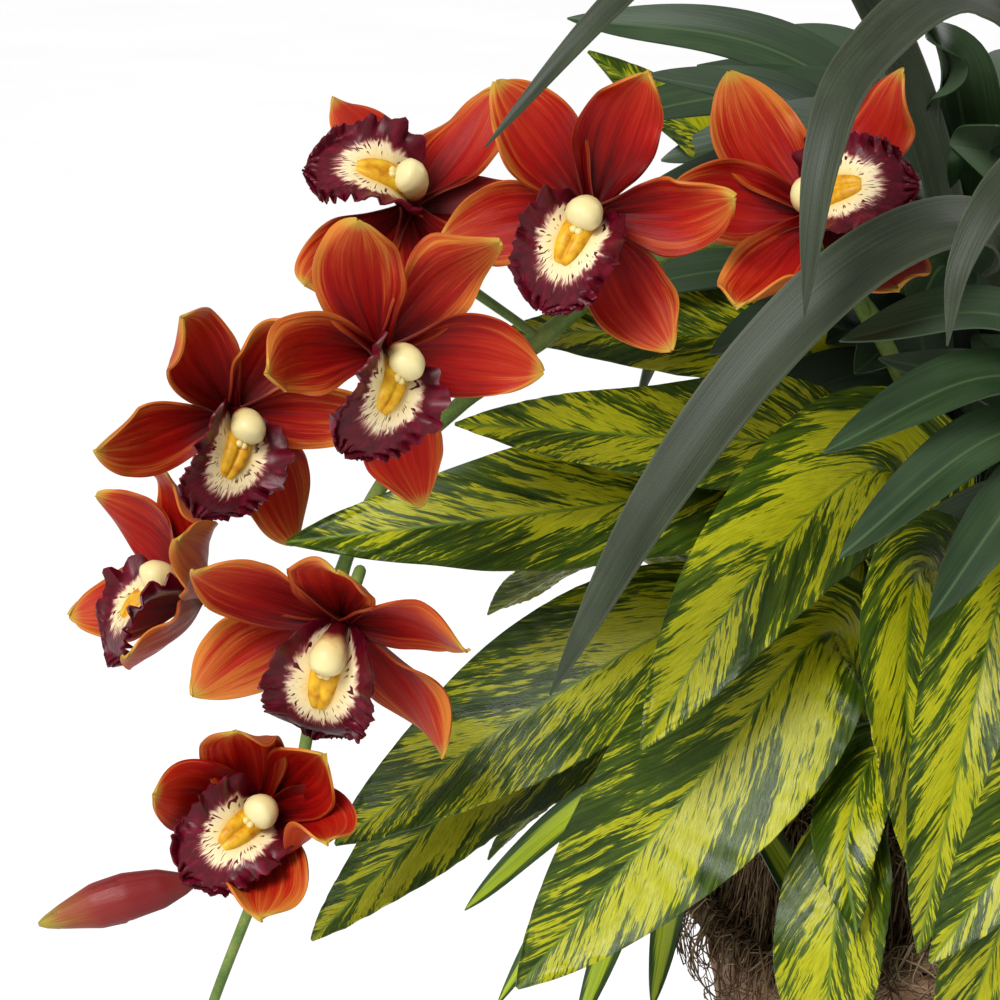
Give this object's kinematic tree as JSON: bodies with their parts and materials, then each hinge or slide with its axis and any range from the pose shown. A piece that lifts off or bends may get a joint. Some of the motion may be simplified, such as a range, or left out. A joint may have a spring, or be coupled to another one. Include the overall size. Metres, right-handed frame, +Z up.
{
  "type": "potted orchid arrangement",
  "caption": "Arching cymbidium orchid sprays over striped, strap-like and lance-shaped leaves, rooted in a moss mound in a round woven basket that stands on a flat base.",
  "frame": {"origin": "Centre of the basket's underside, where it stands.", "axes": "+Z up; the arrangement's front faces -Y, and the spray nearer the viewer trails to -X."},
  "size_m": [0.6745, 0.428, 0.5298],
  "materials": {
    "striped_leaf": "waxy, semi-gloss, dark green with yellow streaks",
    "strap_leaf": "matte grey-green",
    "lance_leaf": "dark green, semi-gloss",
    "stem": "satin green",
    "petal": "satin, deep red to orange and gold",
    "lip": "satin, cream with burgundy spots and margin",
    "bud": "satin, dusky red",
    "moss": "dry, fibrous, matte brown",
    "foam": "matte green",
    "strip": "dry bark strip, matte tan",
    "braid": "braided plant fibre, matte",
    "board": "plain wood, matte"
  },
  "bodies": {
    "root": {"basket_base": "board", "basket_rim": "braid", "basket_wall": "strip", "bud_left": "bud", "bud_right": "bud", "floral_foam": "foam", "flower_left_1_lip": "lip", "flower_left_1_petals": "petal", "flower_left_2_lip": "lip", "flower_left_2_petals": "petal", "flower_left_3_lip": "lip", "flower_left_3_petals": "petal", "flower_left_4_lip": "lip", "flower_left_4_petals": "petal", "flower_left_5_lip": "lip", "flower_left_5_petals": "petal", "flower_left_6_lip": "lip", "flower_left_6_petals": "petal", "flower_left_7_lip": "lip", "flower_left_7_petals": "petal", "flower_left_8_lip": "lip", "flower_left_8_petals": "petal", "flower_right_1_lip": "lip", "flower_right_1_petals": "petal", "flower_right_2_lip": "lip", "flower_right_2_petals": "petal", "flower_right_3_lip": "lip", "flower_right_3_petals": "petal", "flower_right_4_lip": "lip", "flower_right_4_petals": "petal", "lance_shoot_back": "lance_leaf", "lance_shoot_core": "lance_leaf", "lance_shoot_front": "lance_leaf", "lance_shoot_low": "lance_leaf", "lance_shoot_top": "lance_leaf", "moss_mound": "moss", "spray_stem_left": "stem", "spray_stem_right": "stem", "strap_leaf_1": "strap_leaf", "strap_leaf_2": "strap_leaf", "strap_leaf_3": "strap_leaf", "strap_leaf_4": "strap_leaf", "strap_leaf_5": "strap_leaf", "strap_leaf_6": "strap_leaf", "striped_leaf_front_1": "striped_leaf", "striped_leaf_front_2": "striped_leaf", "striped_leaf_front_3": "striped_leaf", "striped_leaf_front_4": "striped_leaf", "striped_leaf_front_5": "striped_leaf", "striped_leaf_front_6": "striped_leaf", "striped_leaf_front_7": "striped_leaf", "striped_leaf_front_8": "striped_leaf", "striped_leaf_left_1": "striped_leaf", "striped_leaf_left_2": "striped_leaf", "striped_leaf_left_3": "striped_leaf", "striped_leaf_left_4": "striped_leaf", "striped_leaf_left_5": "striped_leaf", "striped_leaf_left_6": "striped_leaf", "striped_shoot_back": "striped_leaf", "striped_shoot_right": "striped_leaf"}
  },
  "joints": []
}
